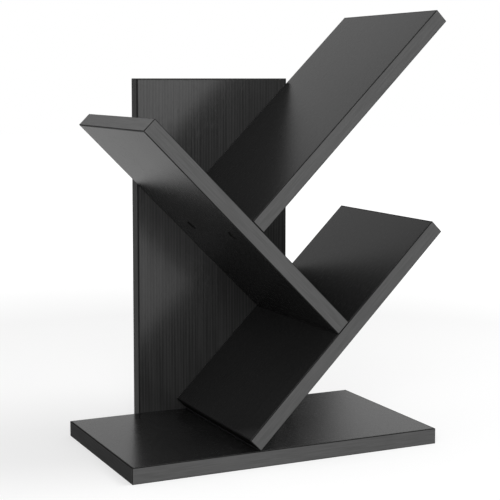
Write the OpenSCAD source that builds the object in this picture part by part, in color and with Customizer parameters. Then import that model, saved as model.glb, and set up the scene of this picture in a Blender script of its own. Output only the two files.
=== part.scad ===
// Desktop bookshelf in the shape of a tree: a flat base, an upright back board and three
// leaning shelves that branch from one another at right angles. Every board has a strip of
// edge band on each of its four edges, and countersunk screws hold the boards together.
// X runs to the right, Y to the back and Z up. The origin is the middle of the floor area.

/* [Boards] */
// Thickness of every board
board_t = 15; // [12:0.5:18]
// Width of the base
base_w = 311; // [290:1:340]
// Depth of the base, and of the shelves that end flush with it
base_d = 177; // [150:1:200]
// Width of the back board
back_w = 165.5; // [150:0.5:180]
// Height of the back board
back_h = 351.5; // [330:0.5:380]
// Left end of the base to the left edge of the back board
back_inset = 72.5; // [60:0.5:85]

/* [Shelves] */
// Lean of the two right shelves from the level; the left shelf stands square to them
lean = 45; // [42:1:48]
// Length of the lower right shelf
lower_right_length = 270; // [240:1:300]
// Length of the left shelf
left_length = 270; // [240:1:300]
// Length of the upper right shelf
upper_right_length = 270; // [240:1:300]
// Left end of the base to the lower corner of the lower right shelf's foot, which stands on it
foot_inset = 124; // [115:1:135]
// Gap between that corner, rounded as it is, and the top of the base
foot_gap = 0.4; // [0.2:0.1:0.8]
// Foot of the lower right shelf to the upper face of the left shelf, along the lower right one
left_joint_at = 142.5; // [130:0.5:155]
// Foot of the left shelf to the lower face of the upper right shelf, along the left one
upper_joint_at = 124; // [110:1:138]

/* [Edge bands] */
// Thickness of an edge band
band_t = 1; // [0.6:0.1:2]
// Width of a band's flat side, between the face of the board and the rounded edge
band_flat = 0.2; // [0.1:0.05:0.4]

/* [Screws] */
// Length of a screw with its head
screw_l = 40; // [35:1:50]
// Diameter of a screw's head
head_d = 7.4; // [6.4:0.1:9]
// Height of the head's straight rim, above its cone
rim_h = 0.6; // [0.3:0.1:1]
// Diameter of the smooth neck, which fills the hole through the first board
neck_d = 5; // [4:0.1:5.6]
// Length of the neck and the head together
neck_l = 14; // [10:0.5:20]
// Diameter of the thread
thread_d = 4.6; // [3.6:0.1:5.2]
// Diameter of the blunt tip
tip_d = 3; // [2:0.1:3.4]
// Length of the cone at the tip
tip_l = 3; // [2:0.5:5]
// Width across the corners of the hexagon socket
socket_d = 3.5; // [2.5:0.1:3.9]
// Depth of the hexagon socket
socket_h = 2.4; // [1.5:0.1:3]
// Depth of a head's flat top below the face of the board
head_sink = 0.8; // [0.4:0.1:1.5]
// Diameter of the shallow hole that the head is sunk in
sink_d = 8.4; // [7.6:0.1:10]
// Gap round a screw in its hole
screw_gap = 0.05; // [0.02:0.01:0.1]
// Room beyond the tip in the hole's end
tip_room = 2; // [1:0.5:5]

/* [Places of the screws] */
// Distance from one screw of a pair to the other
pair_pitch = 96; // [64:32:96]
// Front edge to the first screw of a joint between two shelves
joint_front = 33; // [25:1:45]
// Side edge of the back board to the outer screw of a shelf, along the shelf
outer_in = 28; // [20:1:40]

/* [Hidden] */
$fn = 48;
// How far a cut runs past the face that it starts at
over = 1;
// Flats that make up one rounded edge
round_flats = 4;
edge_round = band_t - band_flat;
// How much the rounding takes off the reach of a leaning shelf's corner
corner_loss = edge_round * (sin(lean) + cos(lean) - 1);
whole_d = base_d + board_t;
back_right = back_inset + back_w;
// Right ends of the two right shelves, at their lower corners
lower_right_end = foot_inset + lower_right_length * cos(lean) - corner_loss;
upper_right_start = foot_inset + left_joint_at * cos(lean) - (board_t + upper_joint_at) * sin(lean);
upper_right_end = upper_right_start + upper_right_length * cos(lean) - corner_loss;
whole_w = max(base_w, lower_right_end, upper_right_end);
// Sideways place of each shelf's middle line at its foot, and how far along it the back
// board's side edge comes
lower_right_mid = foot_inset - board_t / 2 * sin(lean);
left_mid = foot_inset + (left_joint_at - board_t / 2) * cos(lean) - board_t * sin(lean);
upper_right_mid = upper_right_start - board_t / 2 * sin(lean);
lower_right_exit = (back_right - lower_right_mid) / cos(lean);
left_exit = (left_mid - back_inset) / sin(lean);
upper_right_exit = (back_right - upper_right_mid) / cos(lean);

face_colour = [0.17, 0.17, 0.175];
edge_colour = [0.33, 0.33, 0.34];
screw_colour = [0.08, 0.08, 0.085];

// Places of the boards. Each turns a board that lies flat, with its length along X, its front
// edge at Y = 0 and its thickness up from Z = 0, into its own place.
module at_base() {
    translate([-whole_w / 2, -whole_d / 2, 0]) children();
}

// The back board's length is its height, and its front edge is its left one
module at_back() {
    at_base() translate([back_inset, base_d, 0]) rotate([-90, -90, 0]) children();
}

module at_lower_right() {
    at_base() translate([foot_inset, 0, board_t + foot_gap - corner_loss]) rotate([0, -lean, 0])
        children();
}

// The left shelf's Z = 0 face is its upper one
module at_left() {
    at_lower_right() translate([left_joint_at, 0, board_t]) rotate([0, -90, 0]) children();
}

module at_upper_right() {
    at_left() translate([upper_joint_at, 0, 0]) rotate([0, 90, 0]) children();
}

// Outline of a rectangle with rounded corners
function rounded_rectangle(w, h) = [
    for (corner = [0 : 3]) for (flat = [0 : round_flats])
        let (angle = (corner - 1 + flat / round_flats) * 90)
        [(corner < 2 ? w - edge_round : edge_round) + edge_round * cos(angle),
         (corner == 1 || corner == 2 ? h - edge_round : edge_round) + edge_round * sin(angle)]];

// Whole board, with all its outer edges rounded
module rounded_board(l, d) {
    intersection() {
        linear_extrude(height = board_t) polygon(rounded_rectangle(l, d));
        translate([0, d, 0]) rotate([90, 0, 0]) linear_extrude(height = d)
            polygon(rounded_rectangle(l, board_t));
        rotate([90, 0, 90]) linear_extrude(height = l) polygon(rounded_rectangle(d, board_t));
    }
}

// A board's core, without its bands
module core(l, d) {
    translate([band_t, band_t, 0]) cube([l - 2 * band_t, d - 2 * band_t, board_t]);
}

// Strip of edge band: what the rounded board has between two corners of its plan
module band(l, d, low, high) {
    intersection() {
        rounded_board(l, d);
        translate([low[0], low[1], -over])
            cube([high[0] - low[0], high[1] - low[1], board_t + 2 * over]);
    }
}

// The four strips of a board: the front and rear ones cover the ends of the other two
module front_band(l, d) {
    band(l, d, [-over, -over], [l + over, band_t]);
}

module rear_band(l, d) {
    band(l, d, [-over, d - band_t], [l + over, d + over]);
}

module foot_band(l, d) {
    band(l, d, [-over, band_t], [band_t, d - band_t]);
}

module tip_band(l, d) {
    band(l, d, [l - band_t, band_t], [l + over, d - band_t]);
}

// Screw along Z, from the face of the board that it enters at Z = 0
module screw() {
    cone_h = (head_d - neck_d) / 2;
    translate([0, 0, head_sink]) difference() {
        rotate_extrude() polygon([
            [0, 0], [head_d / 2, 0], [head_d / 2, rim_h], [neck_d / 2, rim_h + cone_h],
            [neck_d / 2, neck_l], [thread_d / 2, neck_l], [thread_d / 2, screw_l - tip_l],
            [tip_d / 2, screw_l], [0, screw_l]]);
        translate([0, 0, -over]) cylinder(d = socket_d, h = socket_h + over, $fn = 6);
    }
}

// Hole for that screw through both boards: a shallow hole, a countersink that the head's cone
// seats in, a close hole for the neck and a narrower one for the thread
module screw_hole() {
    cone_h = (head_d - neck_d) / 2;
    rim_z = head_sink + rim_h;
    head_r = head_d / 2 + screw_gap;
    neck_r = neck_d / 2 + screw_gap;
    thread_r = thread_d / 2 + screw_gap;
    neck_z = head_sink + neck_l + screw_gap;
    end_z = head_sink + screw_l + tip_room;
    rotate_extrude() polygon([
        [0, -over], [sink_d / 2, -over], [sink_d / 2, rim_z], [head_r, rim_z],
        [neck_r, rim_z + cone_h], [neck_r, neck_z], [thread_r, neck_z],
        [thread_r, end_z], [0, end_z]]);
}

// Places of the screws: a pair through the lower right shelf into the left one
module at_left_joint() {
    at_lower_right() for (y = [joint_front, joint_front + pair_pitch])
        translate([left_joint_at - board_t / 2, y, 0]) children();
}

// A pair through the left shelf, from below, into the upper right one
module at_upper_joint() {
    at_left() for (y = [joint_front, joint_front + pair_pitch])
        translate([upper_joint_at + board_t / 2, y, board_t]) rotate([180, 0, 0]) children();
}

// A pair through the back board into the rear edge of a board, outer one at x
module from_behind(x) {
    for (along = [x - pair_pitch, x])
        translate([along, whole_d, board_t / 2]) rotate([90, 0, 0]) children();
}

module behind_base() {
    at_base() from_behind(back_inset + (back_w + pair_pitch) / 2) children();
}

module behind_lower_right() {
    at_lower_right() from_behind(lower_right_exit - outer_in) children();
}

module behind_left() {
    at_left() from_behind(left_exit - outer_in) children();
}

module behind_upper_right() {
    at_upper_right() from_behind(upper_right_exit - outer_in) children();
}

// Boards
module base_board() {
    color(face_colour) difference() {
        at_base() core(base_w, base_d);
        behind_base() screw_hole();
    }
}

module back_board() {
    color(face_colour) difference() {
        at_back() core(back_h, back_w);
        behind_base() screw_hole();
        behind_lower_right() screw_hole();
        behind_left() screw_hole();
        behind_upper_right() screw_hole();
    }
}

module lower_right_shelf() {
    color(face_colour) difference() {
        at_lower_right() core(lower_right_length, base_d);
        at_left_joint() screw_hole();
        behind_lower_right() screw_hole();
    }
}

module left_shelf() {
    color(face_colour) difference() {
        at_left() core(left_length, base_d);
        at_left_joint() screw_hole();
        at_upper_joint() screw_hole();
        behind_left() screw_hole();
    }
}

module upper_right_shelf() {
    color(face_colour) difference() {
        at_upper_right() core(upper_right_length, base_d);
        at_upper_joint() screw_hole();
        behind_upper_right() screw_hole();
    }
}

// Edge bands of the base
module base_front_band() {
    color(edge_colour) at_base() front_band(base_w, base_d);
}

module base_rear_band() {
    color(edge_colour) difference() {
        at_base() rear_band(base_w, base_d);
        behind_base() screw_hole();
    }
}

module base_left_band() {
    color(edge_colour) at_base() foot_band(base_w, base_d);
}

module base_right_band() {
    color(edge_colour) at_base() tip_band(base_w, base_d);
}

// Edge bands of the back board
module back_left_band() {
    color(edge_colour) at_back() front_band(back_h, back_w);
}

module back_right_band() {
    color(edge_colour) at_back() rear_band(back_h, back_w);
}

module back_bottom_band() {
    color(edge_colour) at_back() foot_band(back_h, back_w);
}

module back_top_band() {
    color(edge_colour) at_back() tip_band(back_h, back_w);
}

// Edge bands of the lower right shelf
module lower_right_front_band() {
    color(edge_colour) at_lower_right() front_band(lower_right_length, base_d);
}

module lower_right_rear_band() {
    color(edge_colour) difference() {
        at_lower_right() rear_band(lower_right_length, base_d);
        behind_lower_right() screw_hole();
    }
}

module lower_right_foot_band() {
    color(edge_colour) at_lower_right() foot_band(lower_right_length, base_d);
}

module lower_right_tip_band() {
    color(edge_colour) at_lower_right() tip_band(lower_right_length, base_d);
}

// Edge bands of the left shelf
module left_front_band() {
    color(edge_colour) at_left() front_band(left_length, base_d);
}

module left_rear_band() {
    color(edge_colour) difference() {
        at_left() rear_band(left_length, base_d);
        behind_left() screw_hole();
    }
}

module left_foot_band() {
    color(edge_colour) difference() {
        at_left() foot_band(left_length, base_d);
        at_left_joint() screw_hole();
    }
}

module left_tip_band() {
    color(edge_colour) at_left() tip_band(left_length, base_d);
}

// Edge bands of the upper right shelf
module upper_right_front_band() {
    color(edge_colour) at_upper_right() front_band(upper_right_length, base_d);
}

module upper_right_rear_band() {
    color(edge_colour) difference() {
        at_upper_right() rear_band(upper_right_length, base_d);
        behind_upper_right() screw_hole();
    }
}

module upper_right_foot_band() {
    color(edge_colour) difference() {
        at_upper_right() foot_band(upper_right_length, base_d);
        at_upper_joint() screw_hole();
    }
}

module upper_right_tip_band() {
    color(edge_colour) at_upper_right() tip_band(upper_right_length, base_d);
}

// Screws
module left_shelf_screws() {
    color(screw_colour) at_left_joint() screw();
}

module upper_right_shelf_screws() {
    color(screw_colour) at_upper_joint() screw();
}

module base_back_screws() {
    color(screw_colour) behind_base() screw();
}

module lower_right_back_screws() {
    color(screw_colour) behind_lower_right() screw();
}

module left_back_screws() {
    color(screw_colour) behind_left() screw();
}

module upper_right_back_screws() {
    color(screw_colour) behind_upper_right() screw();
}

base_board();
back_board();
lower_right_shelf();
left_shelf();
upper_right_shelf();
base_front_band();
base_rear_band();
base_left_band();
base_right_band();
back_left_band();
back_right_band();
back_bottom_band();
back_top_band();
lower_right_front_band();
lower_right_rear_band();
lower_right_foot_band();
lower_right_tip_band();
left_front_band();
left_rear_band();
left_foot_band();
left_tip_band();
upper_right_front_band();
upper_right_rear_band();
upper_right_foot_band();
upper_right_tip_band();
left_shelf_screws();
upper_right_shelf_screws();
base_back_screws();
lower_right_back_screws();
left_back_screws();
upper_right_back_screws();
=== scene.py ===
import math

import bpy
from mathutils import Euler, Matrix, Vector


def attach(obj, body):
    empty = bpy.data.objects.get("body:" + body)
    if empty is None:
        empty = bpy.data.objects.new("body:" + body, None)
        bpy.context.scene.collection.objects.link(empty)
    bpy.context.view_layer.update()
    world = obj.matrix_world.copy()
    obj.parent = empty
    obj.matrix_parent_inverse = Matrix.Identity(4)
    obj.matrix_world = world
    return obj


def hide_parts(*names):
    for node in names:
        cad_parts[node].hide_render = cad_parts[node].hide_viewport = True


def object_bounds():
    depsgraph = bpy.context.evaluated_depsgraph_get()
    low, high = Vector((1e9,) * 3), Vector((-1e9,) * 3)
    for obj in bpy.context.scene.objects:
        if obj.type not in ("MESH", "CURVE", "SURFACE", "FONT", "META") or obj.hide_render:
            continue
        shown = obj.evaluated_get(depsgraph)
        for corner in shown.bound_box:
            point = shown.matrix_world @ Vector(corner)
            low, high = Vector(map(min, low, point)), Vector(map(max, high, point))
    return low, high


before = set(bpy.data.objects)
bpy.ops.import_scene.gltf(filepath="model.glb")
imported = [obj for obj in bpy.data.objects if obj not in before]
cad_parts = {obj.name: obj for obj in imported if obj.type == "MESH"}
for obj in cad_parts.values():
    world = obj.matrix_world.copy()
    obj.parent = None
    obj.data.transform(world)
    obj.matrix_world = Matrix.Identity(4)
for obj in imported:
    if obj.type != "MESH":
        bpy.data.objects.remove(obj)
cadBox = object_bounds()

# The tree's plan in metres and its lean in degrees, as the boards were cut and set
treePlan = {
    "boardThick": 0.015,
    "baseWide": 0.311,
    "baseDeep": 0.177,
    "backWide": 0.1655,
    "backTall": 0.3515,
    "backInset": 0.0725,
    "lean": 45.0,
    "shelfLong": 0.27,
    "footInset": 0.124,
    "footHigh": 0.0150686,
    "leftJointAt": 0.1425,
    "upperJointAt": 0.124,
}


def turned(x=0, y=0, z=0):
    return Euler([math.radians(angle) for angle in (x, y, z)]).to_matrix().to_4x4()


def moved(x=0, y=0, z=0):
    return Matrix.Translation((x, y, z))


# Where each board lies: length along X, front edge at Y = 0, thickness up from Z = 0
def layBoards(plan):
    thick = plan["boardThick"]
    base = moved(cadBox[0].x, cadBox[0].y)
    back = base @ moved(plan["backInset"], plan["baseDeep"]) @ turned(-90, -90)
    lowerRight = base @ moved(plan["footInset"], 0, plan["footHigh"]) @ turned(0, -plan["lean"])
    left = lowerRight @ moved(plan["leftJointAt"], 0, thick) @ turned(0, -90)
    upperRight = left @ moved(plan["upperJointAt"]) @ turned(0, 90)
    return {
        "base": (base, (plan["baseWide"], plan["baseDeep"], thick)),
        "back": (back, (plan["backTall"], plan["backWide"], thick)),
        "lower_right": (lowerRight, (plan["shelfLong"], plan["baseDeep"], thick)),
        "left": (left, (plan["shelfLong"], plan["baseDeep"], thick)),
        "upper_right": (upperRight, (plan["shelfLong"], plan["baseDeep"], thick)),
    }


boardPlaces = layBoards(treePlan)
print("boards laid out:", len(boardPlaces))


# Small helpers for node trees: a value is fed as it is, or linked where it is a socket
def addNode(tree, kind, **settings):
    node = tree.nodes.new(kind)
    for name, value in settings.items():
        setattr(node, name, value)
    return node


def feed(tree, socket, value):
    if isinstance(value, bpy.types.NodeSocket):
        tree.links.new(value, socket)
    else:
        socket.default_value = value


def calc(tree, operation, *values, clamp=False):
    node = addNode(tree, "ShaderNodeMath", operation=operation, use_clamp=clamp)
    for socket, value in zip(node.inputs, values):
        feed(tree, socket, value)
    return node.outputs[0]


def calcVector(tree, operation, *values):
    node = addNode(tree, "ShaderNodeVectorMath", operation=operation)
    for socket, value in zip(node.inputs, values):
        feed(tree, socket, value)
    return node.outputs[0]


def shareOut(tree, first, firstShare, second, secondShare):
    rest = calc(tree, "MULTIPLY", second, secondShare)
    return calc(tree, "ADD", calc(tree, "MULTIPLY", first, firstShare), rest)


def spread(tree, value, low, high, toLow=0.0, toHigh=1.0):
    node = addNode(tree, "ShaderNodeMapRange")
    for socket, given in zip(node.inputs, (value, low, high, toLow, toHigh)):
        feed(tree, socket, given)
    return node.outputs[0]


# A noise that repeats so many times in a metre along X, Y and Z
def noise(tree, place, perMetre, detail, roughness=0.5):
    node = addNode(tree, "ShaderNodeTexNoise")
    node.inputs["Scale"].default_value = 1.0
    node.inputs["Detail"].default_value = detail
    node.inputs["Roughness"].default_value = roughness
    feed(tree, node.inputs["Vector"], calcVector(tree, "MULTIPLY", place, perMetre))
    return node.outputs["Fac"]


# A value that goes up and down with the noise, evenly about the middle
def waver(tree, noiseValue, reach, middle):
    return calc(tree, "MULTIPLY_ADD", noiseValue, reach, calc(tree, "SUBTRACT", middle, reach / 2))


def blendColor(tree, factor, first, second):
    node = addNode(tree, "ShaderNodeMix", data_type="RGBA")
    feed(tree, node.inputs["Factor"], factor)
    feed(tree, node.inputs["A"], first)
    feed(tree, node.inputs["B"], second)
    return node.outputs["Result"]


def startGroup(name, kind, inputs, outputs):
    tree = bpy.data.node_groups.new(name, kind)
    for label, (socketType, value) in inputs.items():
        socket = tree.interface.new_socket(label, in_out="INPUT", socket_type=socketType)
        if value is not None:
            socket.default_value = value
    for label, socketType in outputs.items():
        tree.interface.new_socket(label, in_out="OUTPUT", socket_type=socketType)
    return tree, tree.nodes.new("NodeGroupInput").outputs, tree.nodes.new("NodeGroupOutput").inputs


def grey(value):
    return (value, value, value, 1.0)


# How far a point of a board lies from the nearest long edge between two of its faces
def makeArrisGroup():
    tree, given, made = startGroup(
        "distanceToArris", "ShaderNodeTree",
        {"Place": ("NodeSocketVector", None), "Board Size": ("NodeSocketVector", None)},
        {"Distance": "NodeSocketFloat", "Depth": "NodeSocketFloat"})
    rest = calcVector(tree, "SUBTRACT", given["Board Size"], given["Place"])
    near = calcVector(tree, "ABSOLUTE", calcVector(tree, "MINIMUM", given["Place"], rest))
    split = addNode(tree, "ShaderNodeSeparateXYZ")
    feed(tree, split.inputs[0], near)
    along, across, through = split.outputs
    lower = calc(tree, "MINIMUM", along, across)
    upper = calc(tree, "MAXIMUM", along, across)
    middle = calc(tree, "MAXIMUM", lower, calc(tree, "MINIMUM", upper, through))
    feed(tree, made["Distance"], middle)
    feed(tree, made["Depth"], through)
    return tree


# What a facing and an edge band share: rubbed near the arrises, and dark along them with a glued seam line
# and painted shade of the groove between band and face
def startSkin(name, skin, extraInputs):
    inputs = {
        "Place": ("NodeSocketVector", None),
        "Board Size": ("NodeSocketVector", None),
        "Ground": ("NodeSocketColor", None),
        "Roughness": ("NodeSocketFloat", None),
    }
    inputs.update(extraInputs)
    tree, given, made = startGroup(
        name, "ShaderNodeTree", inputs,
        {"Color": "NodeSocketColor", "Roughness": "NodeSocketFloat", "Height": "NodeSocketFloat"})
    arris = addNode(tree, "ShaderNodeGroup", node_tree=arrisGroup)
    feed(tree, arris.inputs["Place"], given["Place"])
    feed(tree, arris.inputs["Board Size"], given["Board Size"])
    distance = arris.outputs["Distance"]
    blotch = noise(tree, given["Place"], *skin["blotches"])
    rubbed = spread(tree, distance, *skin["rubbedReach"], skin["rubbing"], 0.0)
    edge = {
        "depth": arris.outputs["Depth"],
        "blotch": blotch,
        "rub": calc(tree, "MULTIPLY", rubbed, blotch),
        # Near black along the seam: a glued seam line, and painted shade of the groove there
        "seam": spread(tree, distance, *skin["glueAndShadeReach"], 1.0, 0.0),
    }
    return tree, given, made, edge


# Where the screws stand: depth below the face, pair to pair, and from the boards' edges
screwPlaces = {
    "sink": 0.0008,
    "pairPitch": 0.096,
    "jointFront": 0.033,
    "outerIn": 0.028,
}

# The black wood-print facing of a board, its grain along the board
facing = {
    "worn": grey(0.03),
    "glue": grey(0.002),
    "core": (0.002, 0.002, 0.002),
    # Each noise: times in a metre along, across and through the board, and its detail
    "fineGrain": ((9.0, 480.0, 480.0), 1.0),
    "broadGrain": ((5.0, 85.0, 85.0), 2.0),
    "ribWander": ((2.0, 70.0, 70.0), 1.0),
    "pores": ((130.0, 2600.0, 2600.0), 1.0),
    "chips": ((620.0, 620.0, 620.0), 2.0),
    "blotches": ((9.0, 9.0, 9.0), 2.0),
    "fineShare": 0.8,
    "broadShare": 0.2,
    "ribPitch": 0.0032,
    "ribStray": 6.0,
    "ribDepth": 0.14,
    "streakRange": (0.36, 0.64),
    "poreRange": (0.6, 0.72),
    "chipRange": (0.35, 0.65),
    "chipTones": (0.5, 1.3),
    "rubbing": 0.3,
    "rubbedReach": (0.0018, 0.0036),
    "glueAndShadeReach": (0.0013, 0.0018),
    "screwShadeReach": (0.0050, 0.0054),
    "noJoint": -1.0,  # a place off the board, so that no screw shade is painted
    "coreDepth": 0.0003,
    "coreRoughness": 0.8,
    "blotchRoughness": 0.05,
    "poreRoughness": 0.04,
    "streakRelief": 0.4,
    "poreDepth": 0.00002,
}
smoothSkin = {
    "Ground": grey(0.0122),
    "Streak": grey(0.0136),
    "Roughness": 0.25,
    "Relief": 0.05,
    "Ribs": 0.0,
}
# The back board's facing: ribbed print, with a paler ground that is partly its own print and partly
# painted light standing in for light it lacks
ribbedSkin = {
    "Ground": grey(0.022),
    "Streak": grey(0.038),
    "Roughness": 0.18,
    "Relief": 1.0,
    "Ribs": 0.75,
}
facingFinishes = {
    "smooth": {"specular": 0.11, "skin": smoothSkin},
    "duller": {"specular": 0.073, "skin": smoothSkin},
    "ribbed": {"specular": 0.5, "skin": ribbedSkin},
}


# Painted shade: the facing is drawn dark in a ring round the two screws of a joint between shelves, for
# the shade in their holes
def paintScrewShade(tree, along, across, jointAt):
    halfPitch = screwPlaces["pairPitch"] / 2
    pairMiddle = calc(tree, "SUBTRACT", across, screwPlaces["jointFront"] + halfPitch)
    besideScrew = calc(tree, "SUBTRACT", calc(tree, "ABSOLUTE", pairMiddle), halfPitch)
    alongJoint = calc(tree, "SUBTRACT", along, jointAt)
    squared = calc(tree, "MULTIPLY_ADD", alongJoint, alongJoint,
                   calc(tree, "MULTIPLY", besideScrew, besideScrew))
    return spread(tree, calc(tree, "SQRT", squared), *facing["screwShadeReach"], 1.0, 0.0)


def makeFacingGroup():
    tree, given, made, edge = startSkin("woodPrintFacing", facing, {
        "Streak": ("NodeSocketColor", None),
        "Relief": ("NodeSocketFloat", None),
        "Ribs": ("NodeSocketFloat", None),
        "Joint At": ("NodeSocketFloat", None),
    })
    place = given["Place"]
    split = addNode(tree, "ShaderNodeSeparateXYZ")
    feed(tree, split.inputs[0], place)
    along = split.outputs["X"]
    across = split.outputs["Y"]
    fine = noise(tree, place, *facing["fineGrain"])
    broad = noise(tree, place, *facing["broadGrain"])
    grain = shareOut(tree, fine, facing["fineShare"], broad, facing["broadShare"])
    stray = calc(tree, "MULTIPLY", noise(tree, place, *facing["ribWander"]), facing["ribStray"])
    wave = calc(tree, "SINE", calc(tree, "MULTIPLY_ADD", across, math.tau / facing["ribPitch"], stray))
    ribs = calc(tree, "MULTIPLY", calc(tree, "MULTIPLY", wave, facing["ribDepth"]), given["Ribs"])
    streaks = spread(tree, calc(tree, "ADD", grain, ribs), *facing["streakRange"])
    pores = spread(tree, noise(tree, place, *facing["pores"]), *facing["poreRange"])
    color = blendColor(tree, streaks, given["Ground"], given["Streak"])
    color = blendColor(tree, edge["rub"], color, facing["worn"])
    # Near black along the seams and round the joint screws: a glued seam line with painted groove shade,
    # and painted shade of the screw holes
    dark = calc(tree, "MAXIMUM", edge["seam"], paintScrewShade(tree, along, across, given["Joint At"]))
    color = blendColor(tree, dark, color, facing["glue"])
    # Inside a hole the board's chips show, drawn near black, partly the dark chipboard and partly painted
    # shade in the hole
    inside = calc(tree, "GREATER_THAN", edge["depth"], facing["coreDepth"])
    chips = noise(tree, place, *facing["chips"])
    core = calcVector(tree, "SCALE", facing["core"])
    feed(tree, core.node.inputs["Scale"], spread(tree, chips, *facing["chipRange"], *facing["chipTones"]))
    feed(tree, made["Color"], blendColor(tree, inside, color, core))
    uneven = waver(tree, edge["blotch"], facing["blotchRoughness"], given["Roughness"])
    satin = calc(tree, "MULTIPLY_ADD", pores, facing["poreRoughness"], uneven)
    bare = calc(tree, "MULTIPLY", calc(tree, "MAXIMUM", inside, dark), facing["coreRoughness"])
    feed(tree, made["Roughness"], calc(tree, "MAXIMUM", satin, bare))
    swell = calc(tree, "MULTIPLY_ADD", streaks, facing["streakRelief"], calc(tree, "SUBTRACT", 1.0, pores))
    feed(tree, made["Height"], calc(tree, "MULTIPLY", swell, given["Relief"]))
    return tree


# The edge bands: a duller skin with fine pebbles
edgeBand = {
    "worn": grey(0.12),
    "glue": grey(0.002),
    "streaks": ((30.0, 30.0, 900.0), 3.0, 0.6),
    "pebbles": ((1800.0, 1800.0, 1800.0), 1.0),
    "blotches": ((14.0, 14.0, 14.0), 2.0),
    "streakShare": 0.75,
    "blotchShare": 0.25,
    "mottleRange": (0.4, 0.6),
    "rubbing": 0.2,
    "rubbedReach": (0.0009, 0.0018),
    "glueAndShadeReach": (0.0004, 0.0009),
    "glueRoughness": 0.9,
    "blotchRoughness": 0.08,
    "pebbleRoughness": 0.04,
    "streakRelief": 0.5,
    "pebbleDepth": 0.000012,
}
# One edge band in lit and shaded copies: the front copy has the band's own tone, the side and end copies
# are darkened as painted shade
bandLitAndShadedCopies = {
    "front": {"specular": 0.12, "skin": {"Ground": grey(0.088), "Fleck": grey(0.112), "Roughness": 0.54}},
    "side": {"specular": 0.12, "skin": {"Ground": grey(0.018), "Fleck": grey(0.028), "Roughness": 0.54}},
    "end": {"specular": 0.05, "skin": {"Ground": grey(0.002), "Fleck": grey(0.010), "Roughness": 0.5}},
}


def makeBandGroup():
    tree, given, made, edge = startSkin("edgeBandSkin", edgeBand, {"Fleck": ("NodeSocketColor", None)})
    streaks = noise(tree, given["Place"], *edgeBand["streaks"])
    pebbles = noise(tree, given["Place"], *edgeBand["pebbles"])
    mottle = shareOut(tree, streaks, edgeBand["streakShare"], edge["blotch"], edgeBand["blotchShare"])
    mottle = spread(tree, mottle, *edgeBand["mottleRange"])
    color = blendColor(tree, mottle, given["Ground"], given["Fleck"])
    color = blendColor(tree, edge["rub"], color, edgeBand["worn"])
    feed(tree, made["Color"], blendColor(tree, edge["seam"], color, edgeBand["glue"]))
    uneven = waver(tree, edge["blotch"], edgeBand["blotchRoughness"], given["Roughness"])
    satin = calc(tree, "MULTIPLY_ADD", pebbles, edgeBand["pebbleRoughness"], uneven)
    gluey = calc(tree, "MULTIPLY", edge["seam"], edgeBand["glueRoughness"])
    feed(tree, made["Roughness"], calc(tree, "MAXIMUM", satin, gluey))
    feed(tree, made["Height"], calc(tree, "MULTIPLY_ADD", streaks, edgeBand["streakRelief"], pebbles))
    return tree


def startMaterial(name, specular, roughness):
    material = bpy.data.materials.new(name)
    material.use_nodes = True
    tree = material.node_tree
    shader = tree.nodes["Principled BSDF"]
    shader.inputs["Specular IOR Level"].default_value = specular
    shader.inputs["Roughness"].default_value = roughness
    return material, tree, shader


def addRelief(tree, shader, height, depth):
    bump = addNode(tree, "ShaderNodeBump")
    bump.inputs["Distance"].default_value = depth
    feed(tree, bump.inputs["Height"], height)
    feed(tree, shader.inputs["Normal"], bump.outputs["Normal"])


# A material whose pattern lies straight on one board, wherever the board leans
def makeBoardMaterial(name, group, board, specular, relief, skinValues):
    lay, size = boardPlaces[board]
    material, tree, shader = startMaterial(name, specular, skinValues["Roughness"])
    spot = addNode(tree, "ShaderNodeTexCoord")
    straight = addNode(tree, "ShaderNodeMapping", vector_type="TEXTURE")
    straight.inputs["Location"].default_value = lay.to_translation()
    straight.inputs["Rotation"].default_value = lay.to_euler()
    feed(tree, straight.inputs["Vector"], spot.outputs["Object"])
    skin = addNode(tree, "ShaderNodeGroup", node_tree=group)
    feed(tree, skin.inputs["Place"], straight.outputs["Vector"])
    feed(tree, skin.inputs["Board Size"], size)
    for label, value in skinValues.items():
        feed(tree, skin.inputs[label], value)
    feed(tree, shader.inputs["Base Color"], skin.outputs["Color"])
    feed(tree, shader.inputs["Roughness"], skin.outputs["Roughness"])
    addRelief(tree, shader, skin.outputs["Height"], relief)
    return material


def dress(node, material):
    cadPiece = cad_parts[node]
    if not cadPiece.material_slots:
        cadPiece.data.materials.append(None)
    for slot in cadPiece.material_slots:
        slot.link = "OBJECT"
        slot.material = material


def joinWords(words):
    return "".join(word.capitalize() for word in words)


# Each board's node and the finish of its facing
boardNodes = {
    "base": ("base_board", "smooth"),
    "back": ("back_board", "ribbed"),
    "lower_right": ("lower_right_shelf", "smooth"),
    "left": ("left_shelf", "duller"),
    "upper_right": ("upper_right_shelf", "smooth"),
}
# The bands painted darker than the front ones, as painted shade where less light falls on them
bandsInPaintedShade = {
    "side": ["back_left_band", "back_right_band"],
    "end": [
        "base_left_band",
        "base_right_band",
        "lower_right_foot_band",
        "left_foot_band",
        "upper_right_foot_band",
    ],
}
jointScrews = {
    "lower_right": treePlan["leftJointAt"] - treePlan["boardThick"] / 2,
    "left": treePlan["upperJointAt"] + treePlan["boardThick"] / 2,
}


def bandShadeCopy(bandNode):
    for finishName, bandNodes in bandsInPaintedShade.items():
        if bandNode in bandNodes:
            return finishName
    return "front"


def bandsOf(board, finishName):
    found = []
    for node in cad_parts:
        if node.startswith(board + "_") and node.endswith("_band") and bandShadeCopy(node) == finishName:
            found.append(node)
    return found


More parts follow.
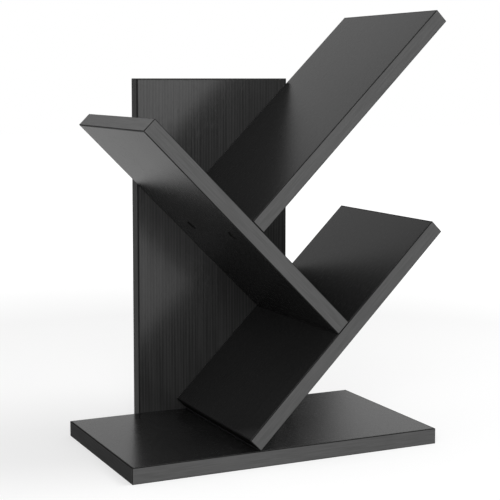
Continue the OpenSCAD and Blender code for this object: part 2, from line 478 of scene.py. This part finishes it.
def finishBoard(board, node, finishName):
    endOfName = joinWords(board.split("_"))
    finish = facingFinishes[finishName]
    skinValues = {**finish["skin"], "Joint At": jointScrews.get(board, facing["noJoint"])}
    dress(node, makeBoardMaterial(
        "facing" + endOfName, facingGroup, board, finish["specular"], facing["poreDepth"], skinValues))
    for bandName, band in bandLitAndShadedCopies.items():
        bandNodes = bandsOf(board, bandName)
        if not bandNodes:
            continue
        bandMaterial = makeBoardMaterial(
            bandName + "Band" + endOfName, bandGroup, board, band["specular"],
            edgeBand["pebbleDepth"], band["skin"])
        for bandNode in bandNodes:
            dress(bandNode, bandMaterial)


arrisGroup = makeArrisGroup()
facingGroup = makeFacingGroup()
bandGroup = makeBandGroup()
for board, (node, finishName) in boardNodes.items():
    finishBoard(board, node, finishName)
print("boards and bands finished")

# The screws, each turned on one grid: round the screw along X, down its outline along Y
screw = {
    "Head Width": 0.0074,
    "Rim Height": 0.0006,
    "Neck Width": 0.005,
    "Neck Length": 0.014,
    "Thread Width": 0.00455,
    "Thread Depth": 0.0005,
    "Thread Pitch": 0.0018,
    "Flank Slope": 3.2,
    "Run Out Slope": 12.0,
    "Screw Length": 0.04,
    "Tip Width": 0.0028,
    "Tip Length": 0.003,
    "Socket Width": 0.0035,
    "Socket Depth": 0.0024,
    "Edge Break": 0.00015,
    "Merge Within": 0.000001,
}
screwCounts = {"Around": 36, "Thread Rows": 84, "Screws": 2}
screwSharpFrom = 30.0  # degrees between two faces, past which their edge stays crisp


def makeScrewTree():
    inputs = {"Geometry": ("NodeSocketGeometry", None)}
    inputs.update({label: ("NodeSocketFloat", value) for label, value in screw.items()})
    inputs.update({label: ("NodeSocketInt", value) for label, value in screwCounts.items()})
    inputs["First Screw"] = ("NodeSocketVector", None)
    inputs["Next Screw"] = ("NodeSocketVector", None)
    inputs["Turn"] = ("NodeSocketRotation", None)
    inputs["Steel"] = ("NodeSocketMaterial", None)
    tree, given, made = startGroup(
        "hexSocketScrews", "GeometryNodeTree", inputs, {"Geometry": "NodeSocketGeometry"})

    def times(first, second):
        return calc(tree, "MULTIPLY", first, second)

    def half(label):
        return times(given[label], 0.5)

    def add(first, second):
        return calc(tree, "ADD", first, second)

    def take(first, second):
        return calc(tree, "SUBTRACT", first, second)

    def pick(index, values):
        switch = addNode(tree, "GeometryNodeIndexSwitch", data_type="FLOAT")
        while len(switch.index_switch_items) < len(values):
            switch.index_switch_items.new()
        feed(tree, switch.inputs["Index"], index)
        for socket, value in zip(list(switch.inputs)[1:], values):
            feed(tree, socket, value)
        return switch.outputs[0]

    def choose(test, yes, no):
        switch = addNode(tree, "GeometryNodeSwitch", input_type="FLOAT")
        for socket, value in zip(switch.inputs, (test, no, yes)):
            feed(tree, socket, value)
        return switch.outputs[0]

    # Radius and depth at each row before the thread, and at the rows after it
    head = half("Head Width")
    neck = half("Neck Width")
    root = take(half("Thread Width"), given["Thread Depth"])
    socketWide = half("Socket Width")
    edge = given["Edge Break"]
    threadFrom = add(given["Neck Length"], given["Thread Depth"])
    threadTo = take(given["Screw Length"], given["Tip Length"])
    outline = [
        (0.0, given["Socket Depth"]),
        (socketWide, given["Socket Depth"]),
        (socketWide, edge),
        (add(socketWide, edge), 0.0),
        (take(head, edge), 0.0),
        (head, edge),
        (head, given["Rim Height"]),
        (neck, add(given["Rim Height"], take(head, neck))),
        (neck, given["Neck Length"]),
        (root, threadFrom),
    ]
    socketRows = 3
    ending = [
        (half("Tip Width"), take(given["Screw Length"], edge)),
        (take(half("Tip Width"), edge), given["Screw Length"]),
        (0.0, given["Screw Length"]),
    ]
    rowsBefore = len(outline)
    rows = add(given["Thread Rows"], rowsBefore + len(ending))
    betweenRows = 0.5  # a test lies half a row off, so rounding can't upset it

    # A flat grid about its own middle gives each point its turn and its row
    gridSize = 1.0
    grid = addNode(tree, "GeometryNodeMeshGrid")
    grid.inputs["Size X"].default_value = gridSize
    grid.inputs["Size Y"].default_value = gridSize
    feed(tree, grid.inputs["Vertices X"], add(given["Around"], 1))
    feed(tree, grid.inputs["Vertices Y"], rows)
    where = addNode(tree, "ShaderNodeSeparateXYZ")
    feed(tree, where.inputs[0], addNode(tree, "GeometryNodeInputPosition").outputs[0])
    turnPart = add(where.outputs["X"], gridSize / 2)
    angle = times(turnPart, math.tau)
    row = calc(tree, "ROUND", times(add(where.outputs["Y"], gridSize / 2), take(rows, 1)))
    threadRow = take(row, rowsBefore - 1)
    endRow = take(threadRow, given["Thread Rows"])
    early = calc(tree, "LESS_THAN", row, rowsBefore - betweenRows)
    late = calc(tree, "GREATER_THAN", endRow, betweenRows)
    startIndex = calc(tree, "MINIMUM", row, rowsBefore - 1)
    endIndex = calc(tree, "MAXIMUM", take(endRow, 1), 0)

    # The thread climbs one pitch for each turn, and runs out at both of its ends
    threadPart = calc(tree, "DIVIDE", threadRow, given["Thread Rows"])
    threadDepth = calc(tree, "MULTIPLY_ADD", take(threadTo, threadFrom), threadPart, threadFrom)
    climb = take(calc(tree, "DIVIDE", threadDepth, given["Thread Pitch"]), turnPart)
    ridge = calc(tree, "PINGPONG", calc(tree, "FRACT", climb), 0.5)
    flank = calc(tree, "SUBTRACT", 1.0, times(ridge, given["Flank Slope"]), clamp=True)
    fromEnds = calc(tree, "PINGPONG", threadPart, 0.5)
    runOut = calc(tree, "MULTIPLY", fromEnds, given["Run Out Slope"], clamp=True)
    lift = times(times(flank, runOut), given["Thread Depth"])
    radius = choose(early, pick(startIndex, [wide for wide, deep in outline]), add(root, lift))
    radius = choose(late, pick(endIndex, [wide for wide, deep in ending]), radius)
    depth = choose(early, pick(startIndex, [deep for wide, deep in outline]), threadDepth)
    depth = choose(late, pick(endIndex, [deep for wide, deep in ending]), depth)

    # The socket's rows are six-sided
    sides = 6
    fromFlat = calc(tree, "SUBTRACT", calc(tree, "FRACT", times(turnPart, sides)), 0.5)
    sideAngle = times(fromFlat, math.tau / sides)
    hexagon = calc(tree, "DIVIDE", math.cos(math.pi / sides), calc(tree, "COSINE", sideAngle))
    inSocket = calc(tree, "LESS_THAN", row, socketRows + betweenRows)
    radius = times(radius, choose(inSocket, hexagon, 1.0))

    point = addNode(tree, "ShaderNodeCombineXYZ")
    feed(tree, point.inputs["X"], times(radius, calc(tree, "COSINE", angle)))
    feed(tree, point.inputs["Y"], times(radius, calc(tree, "SINE", angle)))
    feed(tree, point.inputs["Z"], depth)
    shaped = addNode(tree, "GeometryNodeSetPosition")
    feed(tree, shaped.inputs["Geometry"], grid.outputs["Mesh"])
    feed(tree, shaped.inputs["Position"], point.outputs[0])
    closed = addNode(tree, "GeometryNodeMergeByDistance")
    feed(tree, closed.inputs["Geometry"], shaped.outputs[0])
    feed(tree, closed.inputs["Distance"], given["Merge Within"])

    # A pair of screws in a row
    line = addNode(tree, "GeometryNodeMeshLine", mode="OFFSET")
    feed(tree, line.inputs["Count"], given["Screws"])
    feed(tree, line.inputs["Start Location"], given["First Screw"])
    feed(tree, line.inputs["Offset"], given["Next Screw"])
    driven = addNode(tree, "GeometryNodeInstanceOnPoints")
    feed(tree, driven.inputs["Points"], line.outputs["Mesh"])
    feed(tree, driven.inputs["Instance"], closed.outputs[0])
    feed(tree, driven.inputs["Rotation"], given["Turn"])
    real = addNode(tree, "GeometryNodeRealizeInstances")
    feed(tree, real.inputs[0], driven.outputs[0])
    coated = addNode(tree, "GeometryNodeSetMaterial")
    feed(tree, coated.inputs["Geometry"], real.outputs[0])
    feed(tree, coated.inputs["Material"], given["Steel"])
    feed(tree, made["Geometry"], coated.outputs[0])
    return tree


# Blackened steel, rubbed a little paler in smears
blackSteel = {
    "oxide": grey(0.006),
    "rubbed": grey(0.02),
    "metallic": 0.1,
    "specular": 0.2,
    "roughness": 0.5,
    "roughnessReach": 0.16,
    "specks": ((2600.0, 2600.0, 2600.0), 2.0),
    "smears": ((420.0, 420.0, 420.0), 3.0, 0.6),
    "smearRange": (0.5, 0.75),
    "relief": 0.00001,
}


def makeSteel():
    steelRoughness = blackSteel["roughness"]
    material, tree, shader = startMaterial("blackSteel", blackSteel["specular"], steelRoughness)
    shader.inputs["Metallic"].default_value = blackSteel["metallic"]
    place = addNode(tree, "ShaderNodeTexCoord").outputs["Object"]
    specks = noise(tree, place, *blackSteel["specks"])
    rubbed = spread(tree, noise(tree, place, *blackSteel["smears"]), *blackSteel["smearRange"])
    color = blendColor(tree, rubbed, blackSteel["oxide"], blackSteel["rubbed"])
    feed(tree, shader.inputs["Base Color"], color)
    uneven = waver(tree, specks, blackSteel["roughnessReach"], steelRoughness)
    feed(tree, shader.inputs["Roughness"], uneven)
    addRelief(tree, shader, specks, blackSteel["relief"])
    return material


# Where the outer screw of a shelf comes: its middle line, followed to the back board's side
def backScrewPlaces(plan, places):
    leftSide = plan["backInset"]
    rightSide = leftSide + plan["backWide"]
    cornerX = boardPlaces["base"][0].to_translation().x
    outer = {"base": leftSide + (plan["backWide"] + places["pairPitch"]) / 2}
    for board, side in {"lower_right": rightSide, "left": leftSide, "upper_right": rightSide}.items():
        lay = boardPlaces[board][0]
        footMiddle = lay @ Vector((0, 0, plan["boardThick"] / 2))
        along = (lay.to_3x3() @ Vector((1, 0, 0))).x
        outer[board] = (side + cornerX - footMiddle.x) / along - places["outerIn"]
    return outer


# Each row's first screw, the step to the next, and the turn that drives them in
def driveScrews(plan, places):
    halfThick = plan["boardThick"] / 2
    wholeDeep = plan["baseDeep"] + plan["boardThick"]
    pitch = places["pairPitch"]
    rows = {}
    lowerRight = boardPlaces["lower_right"][0]
    joint = lowerRight @ moved(plan["leftJointAt"] - halfThick, places["jointFront"])
    rows["left_shelf_screws"] = (joint, Vector((0, pitch, 0)))
    left = boardPlaces["left"][0]
    joint = left @ moved(plan["upperJointAt"] + halfThick, places["jointFront"], plan["boardThick"])
    rows["upper_right_shelf_screws"] = (joint @ turned(180), Vector((0, -pitch, 0)))
    for board, outer in backScrewPlaces(plan, places).items():
        lay = boardPlaces[board][0]
        joint = lay @ moved(outer - pitch, wholeDeep, halfThick) @ turned(90)
        rows[board + "_back_screws"] = (joint, Vector((pitch, 0, 0)))
    for node, (joint, step) in rows.items():
        rows[node] = (joint @ Vector((0, 0, places["sink"])), joint.to_3x3() @ step, joint.to_euler())
    return rows


screwTree = makeScrewTree()
steel = makeSteel()
screwInputs = {}
for item in screwTree.interface.items_tree:
    if item.in_out == "INPUT":
        screwInputs[item.name] = item.identifier


def makeScrewPiece(node, first, step, turn):
    words = node.split("_")
    name = words[0] + joinWords(words[1:])
    maker = bpy.data.objects.new(name + "Maker", bpy.data.meshes.new(name + "Maker"))
    bpy.context.scene.collection.objects.link(maker)
    modifier = maker.modifiers.new("screws", "NODES")
    modifier.node_group = screwTree
    values = {"First Screw": first, "Next Screw": step, "Turn": turn, "Steel": steel}
    values.update(screw)
    values.update(screwCounts)
    for label, value in values.items():
        modifier[screwInputs[label]] = value
    bpy.context.view_layer.update()
    shaped = maker.evaluated_get(bpy.context.evaluated_depsgraph_get())
    mesh = bpy.data.meshes.new_from_object(shaped)
    maker.modifiers.remove(modifier)
    bpy.data.objects.remove(maker)
    mesh.name = name
    mesh.shade_smooth()
    mesh.set_sharp_from_angle(angle=math.radians(screwSharpFrom))
    piece = bpy.data.objects.new(name, mesh)
    bpy.context.scene.collection.objects.link(piece)
    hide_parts(node)
    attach(piece, "root")


for node, (first, step, turn) in driveScrews(treePlan, screwPlaces).items():
    makeScrewPiece(node, first, step, turn)
print("screws driven")

# The studio: white paper all round, three soft lamps, and black cards that the boards mirror
studio = {
    "paperBrightness": 1.0,
    "fillBrightness": 0.5,
    "floorSize": 14.0,
    "floorColor": grey(0.5),
    # The floor glows less near the tree, as painted shade round it, and more from floorNear to floorAway,
    # so that it melts into the paper
    "floorGlow": 0.53,
    "floorGlowAway": 0.82,
    "floorNear": 0.7,
    "floorAway": 1.4,
    "middle": (0.0, 0.0, 0.2),
    # Each lamp's place, size, power, and whether the boards mirror it
    "lamps": {
        "frontLamp": ((-0.7, -1.3, 0.8), (0.8, 0.8), 11.0, False),
        "topLamp": ((0.8, -0.3, 1.6), (0.8, 0.8), 12.0, False),
        "lowSoftbox": ((1.0, -3.6, 0.3), (3.2, 0.8), 6.5, True),
    },
    "cardAway": 4.0,
    # Each card from one bearing to the other in degrees right of straight behind, and its height
    "cards": {"cardRight": (24.0, 30.0, 2.0), "cardLeft": (-34.0, -18.0, 3.1)},
}
white = grey(1.0)
black = grey(0.0)


# One where the camera, a reflection or clear glass looks at the thing, nought where it only lights
def seenDirectly(tree):
    ray = addNode(tree, "ShaderNodeLightPath")
    seen = calc(tree, "ADD", ray.outputs["Is Camera Ray"], ray.outputs["Is Glossy Ray"])
    return calc(tree, "ADD", seen, ray.outputs["Is Transmission Ray"], clamp=True)


def makeWorld():
    world = bpy.data.worlds.new("whitePaper")
    bpy.context.scene.world = world
    world.use_nodes = True
    tree = world.node_tree
    background = tree.nodes["Background"]
    background.inputs["Color"].default_value = white
    seen = seenDirectly(tree)
    strength = spread(tree, seen, 0.0, 1.0, studio["fillBrightness"], studio["paperBrightness"])
    feed(tree, background.inputs["Strength"], strength)


def makeSheet(name, corners, material):
    mesh = bpy.data.meshes.new(name)
    mesh.from_pydata(corners, [], [(0, 1, 2, 3)])
    mesh.materials.append(material)
    sheet = bpy.data.objects.new(name, mesh)
    bpy.context.scene.collection.objects.link(sheet)
    return sheet


def makeFloor():
    half = studio["floorSize"] / 2
    corners = [(-half, -half, 0), (half, -half, 0), (half, half, 0), (-half, half, 0)]
    material, tree, shader = startMaterial("paper", specular=0.0, roughness=1.0)
    shader.inputs["Base Color"].default_value = studio["floorColor"]
    shader.inputs["Emission Color"].default_value = white
    # Painted shade on the floor: its glow is lower near the tree
    distance = addNode(tree, "ShaderNodeVectorMath", operation="LENGTH")
    feed(tree, distance.inputs[0], addNode(tree, "ShaderNodeTexCoord").outputs["Object"])
    glow = spread(tree, distance.outputs["Value"], studio["floorNear"], studio["floorAway"],
                  studio["floorGlow"], studio["floorGlowAway"])
    feed(tree, shader.inputs["Emission Strength"], calc(tree, "MULTIPLY", seenDirectly(tree), glow))
    makeSheet("paperFloor", corners, material)


def makeCards():
    material, tree, shader = startMaterial("blackCard", specular=0.0, roughness=1.0)
    shader.inputs["Base Color"].default_value = black
    for name, (bearingFrom, bearingTo, tall) in studio["cards"].items():
        feet = []
        for bearing in (bearingFrom, bearingTo):
            angle = math.radians(bearing)
            feet.append(Vector((math.sin(angle), math.cos(angle), 0.0)) * studio["cardAway"])
        rise = Vector((0.0, 0.0, tall))
        card = makeSheet(name, [feet[0], feet[1], feet[1] + rise, feet[0] + rise], material)
        card.visible_camera = False
        card.visible_diffuse = False
        card.visible_shadow = False


def makeLamps():
    for name, (place, size, watts, mirrored) in studio["lamps"].items():
        light = bpy.data.lights.new(name, "AREA")
        light.shape = "RECTANGLE"
        light.size, light.size_y = size
        light.energy = watts
        lamp = bpy.data.objects.new(name, light)
        bpy.context.scene.collection.objects.link(lamp)
        aim = Vector(studio["middle"]) - Vector(place)
        lamp.location = place
        lamp.rotation_euler = aim.to_track_quat("-Z", "Y").to_euler()
        lamp.visible_camera = False
        lamp.visible_glossy = mirrored


makeWorld()
makeFloor()
makeCards()
makeLamps()
print("studio lit")

# The camera of the photograph: almost level, with the lens lowered a little
eye = {
    "place": (-0.544714, -1.154241, 0.351175),
    "turnRight": 0.44062,  # radians, as the tilt is
    "tiltDown": 0.09126,
    "focalPixels": 1325.38,
    "framePixels": 500,
    "liftPixels": -50,
    "sensorWide": 36.0,  # millimetres
    "seesFrom": 0.01,
    "seesTo": 50.0,
}


def makeCamera():
    lens = bpy.data.cameras.new("eye")
    lens.sensor_fit = "HORIZONTAL"
    lens.sensor_width = eye["sensorWide"]
    lens.lens = eye["sensorWide"] * eye["focalPixels"] / eye["framePixels"]
    lens.shift_y = eye["liftPixels"] / eye["framePixels"]
    lens.clip_start = eye["seesFrom"]
    lens.clip_end = eye["seesTo"]
    camera = bpy.data.objects.new("eye", lens)
    bpy.context.scene.collection.objects.link(camera)
    camera.location = eye["place"]
    camera.rotation_euler = (math.pi / 2 - eye["tiltDown"], 0.0, -eye["turnRight"])
    bpy.context.scene.camera = camera


makeCamera()
bpy.context.scene.view_settings.view_transform = "Standard"

print("scene ready")
